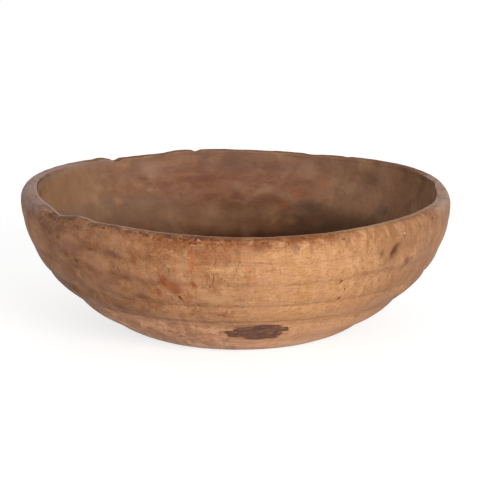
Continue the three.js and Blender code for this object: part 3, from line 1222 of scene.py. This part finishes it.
    def _turn(self) -> bpy.types.Object:
        """Draws the half section from one point by extruding, and turns it once round.

        Returns:
            The bowl as turned.
        """
        bpy.ops.object.select_all(action="DESELECT")
        bpy.ops.mesh.primitive_plane_add(size=self.foot_radius)
        piece = bpy.context.object
        piece.name = "bowl"
        with editing(piece):
            bpy.ops.mesh.merge(type="CENTER")
            bpy.ops.transform.translate(value=(self.outline[0, 0], 0.0, self.outline[0, 1]))
            for step_out, step_up in np.diff(self.outline, axis=0):
                step = (step_out, 0.0, step_up)
                bpy.ops.mesh.extrude_vertices_move(TRANSFORM_OT_translate={"value": step})
        away = get_points(piece.data)[:, None, [0, 2]] - self.outline[None]
        rows = np.argmin(np.hypot(away[..., 0], away[..., 1]), axis=1)
        piece.data.attributes.new(ROW, "FLOAT", "POINT").data.foreach_set("value", rows.astype(np.float32))
        apply_modifier(
            piece, "SCREW", angle=2 * math.pi, steps=self.turn_steps, render_steps=self.turn_steps,
            use_merge_vertices=True, merge_threshold=MERGE,
        )
        with editing(piece):
            bpy.ops.mesh.remove_doubles(threshold=MERGE)
            bpy.ops.mesh.normals_make_consistent(inside=False)
        return piece

    @staticmethod
    def _rows(mesh: bpy.types.Mesh) -> np.ndarray:
        """Reads the row of the outline that each vertex came from.

        Args:
            mesh: The bowl's mesh.

        Returns:
            One row number for each vertex.
        """
        rows = np.empty(len(mesh.vertices), np.float32)
        mesh.attributes[ROW].data.foreach_get("value", rows)
        return rows

    def _shape(self, piece: bpy.types.Object) -> None:
        """Notes the turned coordinates on the mesh, then dents, dries and chips the bowl.

        Args:
            piece: The bowl as turned.
        """
        mesh = piece.data
        points = get_points(mesh)
        rows = np.rint(self._rows(mesh)).astype(int)
        angles = np.arctan2(points[:, 1], points[:, 0])
        heights = points[:, 2].copy()
        around = self.belly_radius * np.stack([np.cos(angles), np.sin(angles)], axis=1)
        turned = np.column_stack([around, self.drops[rows]])
        mesh.attributes.new(TURNED, "FLOAT_VECTOR", "POINT").data.foreach_set(
            "vector", turned.astype(np.float32).ravel()
        )
        outside = (rows > self.foot_rows) & (rows < self.crest_row)
        for dent in self.dents:
            self._dent(points, angles, heights, outside, dent)
        points = self.dry(points)
        self._chip(points, angles, heights, rows)
        set_points(mesh, points)

    def _dent(
        self, points: np.ndarray, angles: np.ndarray, heights: np.ndarray, outside: np.ndarray, dent: Dent
    ) -> None:
        """Presses a dent into the outside wall.

        Args:
            points: The bowl's points, which are moved.
            angles: Angle of each point, in radians.
            heights: Height of each point as turned.
            outside: Which points lie on the outside wall.
            dent: The dent.
        """
        around = np.radians(angle_between(angles, dent.angle)) * self.belly_radius
        up = heights - dent.height
        lean = math.radians(dent.lean)
        across = (around * math.cos(lean) - up * math.sin(lean)) / dent.width
        along = (around * math.sin(lean) + up * math.cos(lean)) / dent.length
        depth = dent.depth * np.exp(-across ** 2 - along ** 2) * outside
        points[:, 0] -= depth * np.cos(angles)
        points[:, 1] -= depth * np.sin(angles)

    def _chip(self, points: np.ndarray, angles: np.ndarray, heights: np.ndarray, rows: np.ndarray) -> None:
        """Chips and roughens the crest, and lets its inner edge run uneven and wear round.

        Args:
            points: The dried bowl's points, which are moved.
            angles: Angle of each point, in radians.
            heights: Height of each point as turned.
            rows: Row of each point.
        """
        near = np.clip(1 - (self.height - heights) / self.chip_reach, 0.0, 1.0)
        for chip in self.chips:
            points[:, 2] -= near * chip.at(angles, self.chip_squareness)
        for index in np.flatnonzero(near):
            lump = noise.noise(Vector(points[index]) / self.crest_lump)
            points[index, 2] += self.crest_rough * near[index] * lump
        inner = np.clip((rows - self.crest_row) / self.crest_rows, 0.0, 1.0)
        inner *= np.clip(1 - (self.height - heights) / self.mouth_reach, 0.0, 1.0)
        away = np.where(rows > self.hollow_row, self.drops[rows], self.drops[rows] + self.rim_crest)
        corner = np.clip(1 - away / self.edge_reach, 0.0, 1.0) ** 2 * DIAGONAL
        # An uneven mouth moves the edge straight out, and wear moves it down as far as out
        for wears, share, fall in ((self.mouth, inner, 0.0), (self.edge_wear, corner, 1.0)):
            for wear in wears:
                push = share * wear.at(angles)
                points[:, 0] += push * np.cos(angles)
                points[:, 1] += push * np.sin(angles)
                points[:, 2] -= push * fall

    def _handle(self, piece: bpy.types.Object) -> None:
        """Wears the walls uneven, inwards only and least at the crest, and leaves the foot flat.

        Args:
            piece: The dried bowl.
        """
        rows = self._rows(piece.data)
        crest = (rows > self.crest_row - self.crest_rows) & (rows < self.hollow_row + self.crest_rows)
        walls = piece.vertex_groups.new(name="walls")
        for chosen, weight in (((rows > self.foot_rows + 1) & ~crest, 1.0), (crest, self.crest_share)):
            walls.add([int(index) for index in np.flatnonzero(chosen)], weight, "REPLACE")
        for lumps in self.wear:
            lumps.press(piece, walls.name)

    def dress(self, piece: bpy.types.Object) -> None:
        """Gives the outside and the hollow their finishes.

        Args:
            piece: The finished bowl.
        """
        mesh = piece.data
        mesh.materials.clear()
        outside = replace(OUTSIDE, stains=OUTSIDE.stains + self._dirt_and_shade_lines())
        for wood, side in ((outside, self.wall_side), (HOLLOW, self.hollow_side)):
            mesh.materials.append(wood.material(partial(self.place_on, side), self.belly_radius))
        rows = self._rows(mesh)
        for face in mesh.polygons:
            furthest = max(rows[vertex] for vertex in face.vertices)
            face.material_index = int(furthest > self.hollow_row + HALF_ROW)
        select_only(piece)
        bpy.ops.object.shade_smooth_by_angle(angle=math.radians(self.smooth_angle))

    def _dirt_and_shade_lines(self) -> tuple[Stain, ...]:
        """Dirt settled in the grooves, with painted shade just above each where the wall overhangs, in broken
        lines round the bowl.

        Returns:
            One stain for each groove that holds dirt and painted shade.
        """
        lines = []
        for groove in self.grooves:
            if groove.dirt_and_shade:
                # Painted shade as well as dirt: the line sits a little above the groove's bottom, under the
                # overhang
                drop = self.place_on(self.wall_side, 0.0, groove.height + groove.dirt_and_shade_rise).z / MM
                band = Band(drop, drop, groove.dirt_and_shade_above / MM, groove.dirt_and_shade_below / MM)
                lines.append(Stain(
                    self.dirt_and_shade_colour, groove.dirt_and_shade, self.dirt_and_shade_size, self.dirt_and_shade_cut,
                    span=groove.dirt_and_shade_span, band=band,
                ))
        return tuple(lines)


@dataclass
class BarkRemnant:
    """A remnant of bark on the lower wall, torn ragged along the grain and let into the wood."""

    bowl: Bowl
    angle: float = -83.5
    centre_height: float = 25 * MM
    # How far the bark goes into the wall, and how far the column that cuts it stands out of the wall
    depth: float = 4.5 * MM
    reach: float = 12 * MM
    seat_gap: float = 0.12 * MM
    # Size of the cells of the bark's mesh
    grain: float = 0.45 * MM
    # Torn edge, along the grain and up the wall from the middle, in millimetres
    edge: tuple[tuple[float, float], ...] = (
        (-26.2, 0.8), (-21.0, 2.3), (-17.5, 2.6), (-16.3, 7.3), (-6.3, 9.4), (-1.6, 11.3), (6.4, 12.4),
        (17.3, 9.4), (17.8, 7.0), (23.0, 5.0), (25.2, 2.0), (24.4, -0.6), (19.7, -1.4), (21.0, -4.5),
        (18.3, -7.5), (17.7, -11.0), (15.6, -14.2), (8.1, -12.6), (1.0, -13.6), (-7.3, -11.4),
        (-11.5, -7.9), (-20.6, -8.4), (-21.4, -6.4), (-24.5, -1.4),
    )
    edge_cuts: int = 6
    # Fibres that fray the edge: how far they stand out, their length and their width
    fray: float = 2.6 * MM
    fibre_length: float = 7 * MM
    fibre_width: float = 1.3 * MM
    lumps: tuple[Lumps, ...] = (
        Lumps("bark plates", 4.5 * MM, 0.5 * MM),
        Lumps("bark grit", 1.4 * MM, 0.25 * MM),
    )
    place: Matrix = field(init=False)

    def __post_init__(self) -> None:
        """Finds the bark's middle on the wall, with axes along the grain, up the wall and straight out."""
        turn = math.radians(self.angle)
        step = self.bowl.groove_rounding
        below, above = [self.bowl.wall_radius(self.centre_height + side * step) for side in (-1, 1)]
        gain = above - below
        out = Vector((math.cos(turn), math.sin(turn), -gain / (2 * step))).normalized()
        along = Vector((-math.sin(turn), math.cos(turn), 0.0))
        radius = self.bowl.wall_radius(self.centre_height)
        middle = np.array([[radius * math.cos(turn), radius * math.sin(turn), self.centre_height]])
        self.place = Matrix((along, out.cross(along), out)).transposed().to_4x4()
        self.place.translation = Vector(self.bowl.dry(middle)[0])

    def _column(self, name: str) -> bpy.types.Object:
        """Column of the bark's torn outline, through the wall's surface.

        Args:
            name: Name of the column.

        Returns:
            The column, closed at both ends.
        """
        bpy.ops.object.select_all(action="DESELECT")
        bpy.ops.mesh.primitive_circle_add(vertices=len(self.edge), radius=self.reach, fill_type="NGON")
        piece = bpy.context.object
        piece.name = name
        set_points(piece.data, np.array([(along * MM, up * MM, -self.depth) for along, up in self.edge]))
        with editing(piece):
            bpy.ops.mesh.subdivide(number_cuts=self.edge_cuts)
        points = get_points(piece.data)
        for point in points:
            fibre = (point[0] / self.fibre_length, point[1] / self.fibre_width, 0.0)
            point[0] += self.fray * noise.noise(fibre)
        set_points(piece.data, points)
        with editing(piece):
            up = (0.0, 0.0, self.depth + self.reach)
            bpy.ops.mesh.extrude_region_move(TRANSFORM_OT_translate={"value": up})
            bpy.ops.mesh.select_all(action="SELECT")
            bpy.ops.mesh.normals_make_consistent(inside=False)
        piece.data.transform(self.place)
        return piece

    def build(self, bowl_piece: bpy.types.Object) -> bpy.types.Object:
        """Cuts the bark out of the bowl's own skin, roughens it, and leaves its seat in the bowl.

        Args:
            bowl_piece: The bowl, which gets the seat.

        Returns:
            The bark.
        """
        piece = self._column("bark")
        apply_modifier(piece, "BOOLEAN", operation="INTERSECT", object=bowl_piece, solver="EXACT")
        seat = self._column("seat")
        with editing(seat):
            bpy.ops.transform.shrink_fatten(value=self.seat_gap)
        apply_modifier(bowl_piece, "BOOLEAN", operation="DIFFERENCE", object=seat, solver="EXACT")
        bpy.data.objects.remove(seat)
        apply_modifier(piece, "REMESH", mode="VOXEL", voxel_size=self.grain)
        self._roughen(piece)
        return piece

    def _roughen(self, piece: bpy.types.Object) -> None:
        """Presses plates and grit into the bark's outer face, and leaves its sides as they are.

        Args:
            piece: The bark.
        """
        out = self.place.to_3x3() @ Vector((0.0, 0.0, 1.0))
        face = piece.vertex_groups.new(name="outer face")
        for vertex in piece.data.vertices:
            face.add([vertex.index], max(0.0, vertex.normal.dot(out)), "REPLACE")
        for lumps in self.lumps:
            lumps.press(piece, face.name)

    def dress(self, piece: bpy.types.Object) -> None:
        """Gives the bark its finish.

        Args:
            piece: The bark.
        """
        piece.data.materials.clear()
        piece.data.materials.append(DryBark().material())
        select_only(piece)
        bpy.ops.object.shade_smooth()


@dataclass
class Studio:
    """White floor and surround, one large soft lamp from the front right, and the camera."""

    camera_distance: float = 2.5
    camera_elevation: float = 14.046
    lens: float = 230.63
    sensor: float = 36.0
    orbit_height: float = 55.25 * MM
    aim: tuple[float, float, float] = (0.98 * MM, 3.46 * MM, 69.07 * MM)
    floor_size: float = 14.0
    paper: str = "#f2f2f2"
    # The camera and reflections see the paper darker, with a glow that makes it white and its shadow faint
    paper_seen: str = "#b4b4b4"
    floor_glow: float = 0.76
    # Lamp: its place in degrees, to the right of the front and above the floor, and its distance
    key_turn: float = 26.0
    key_elevation: float = 19.0
    key_distance: float = 2.6
    key_size: float = 1.3
    key_power: float = 46.0
    # Strength of the surround's light on the bowl; the camera sees it white
    surround: float = 0.48

    def build(self) -> None:
        """Builds the floor, the light and the camera."""
        self._floor()
        self._surround()
        self._key()
        self._camera()

    def _seen(self, tree: bpy.types.NodeTree) -> bpy.types.NodeSocket:
        """Rays that show the background itself, straight or in a gloss, and not its light on the bowl.

        Args:
            tree: Node tree that the nodes go into.

        Returns:
            1 for those rays and 0 for the rest.
        """
        path = add_node(tree, "ShaderNodeLightPath").outputs
        seen = path["Is Camera Ray"]
        for ray in ("Is Glossy Ray", "Is Transmission Ray"):
            seen = add_node(tree, "ShaderNodeMath", {0: seen, 1: path[ray]}, operation="MAXIMUM").outputs[0]
        return seen

    def _floor(self) -> None:
        """Wide white floor that keeps the bowl's shadow."""
        bpy.ops.object.select_all(action="DESELECT")
        bpy.ops.mesh.primitive_plane_add(size=self.floor_size)
        floor = bpy.context.object
        floor.name = "floor"
        # Paper has no gloss, so that it shows nothing but the bowl's soft shadow
        material, tree = new_material("paper, white and matt")
        seen = self._seen(tree)
        tone = add_node(
            tree, "ShaderNodeMix",
            {MIX_FACTOR: seen, MIX_BELOW: linear(self.paper), MIX_ABOVE: linear(self.paper_seen)},
            data_type="RGBA",
        ).outputs[MIX_RESULT]
        paper = add_node(tree, "ShaderNodeBsdfDiffuse", {"Color": tone}).outputs[0]
        lift = add_node(
            tree, "ShaderNodeMath", {0: seen, 1: self.floor_glow}, operation="MULTIPLY"
        ).outputs[0]
        glow = add_node(tree, "ShaderNodeEmission", {"Color": linear(WHITE), "Strength": lift}).outputs[0]
        both = add_node(tree, "ShaderNodeAddShader", {0: paper, 1: glow}).outputs[0]
        add_node(tree, "ShaderNodeOutputMaterial", {"Surface": both})
        floor.data.materials.append(material)

    def _surround(self) -> None:
        """White surround that lights the bowl softly from all sides."""
        world = bpy.data.worlds.new("white surround")
        world.use_nodes = True
        world.node_tree.nodes.clear()
        tree = world.node_tree
        strength = add_node(
            tree, "ShaderNodeMapRange", {"Value": self._seen(tree), "To Min": self.surround, "To Max": 1.0}
        ).outputs[0]
        background = add_node(
            tree, "ShaderNodeBackground", {"Color": linear(WHITE), "Strength": strength}
        ).outputs[0]
        add_node(tree, "ShaderNodeOutputWorld", {"Surface": background})
        bpy.context.scene.world = world

    def _key(self) -> None:
        """Large soft lamp, above and to the right of the camera."""
        turn = math.radians(self.key_turn)
        rise = math.radians(self.key_elevation)
        away = Vector((math.sin(turn) * math.cos(rise), -math.cos(turn) * math.cos(rise), math.sin(rise)))
        bpy.ops.object.light_add(type="AREA", location=away * self.key_distance)
        lamp = bpy.context.object
        lamp.name = "key lamp"
        lamp.rotation_euler = away.to_track_quat("Z", "Y").to_euler()
        lamp.data.shape = "DISK"
        lamp.data.size = self.key_size
        lamp.data.energy = self.key_power

    def _camera(self) -> None:
        """Camera at the photograph's angle and distance."""
        rise = math.radians(self.camera_elevation)
        place = Vector((0.0, -math.cos(rise), math.sin(rise))) * self.camera_distance
        place.z += self.orbit_height
        bpy.ops.object.camera_add(location=place)
        camera = bpy.context.object
        camera.name = "camera"
        camera.rotation_euler = (place - Vector(self.aim)).to_track_quat("Z", "Y").to_euler()
        camera.data.lens = self.lens
        camera.data.sensor_width = self.sensor
        bpy.context.scene.camera = camera


def main() -> None:
    """Builds the bowl, its bark and the studio around the frame."""
    logging.basicConfig(level=logging.INFO, format="%(name)s: %(message)s")
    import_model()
    bpy.context.scene.view_settings.view_transform = "Standard"
    bowl = Bowl()
    bowl_piece = bowl.build()
    bark = BarkRemnant(bowl)
    bark_piece = bark.build(bowl_piece)
    bowl.dress(bowl_piece)
    bark.dress(bark_piece)
    for piece, node, slot in ((bowl_piece, "bowl_body", "aged_wood"), (bark_piece, "bark_patch", "bark")):
        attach(piece, BODY)
        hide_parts(node)
        LOG.info("%s: %d faces, stands for %s", piece.name, len(piece.data.polygons), node)
    Studio().build()
    LOG.info("sizes written")


if __name__ == "__main__":
    main()
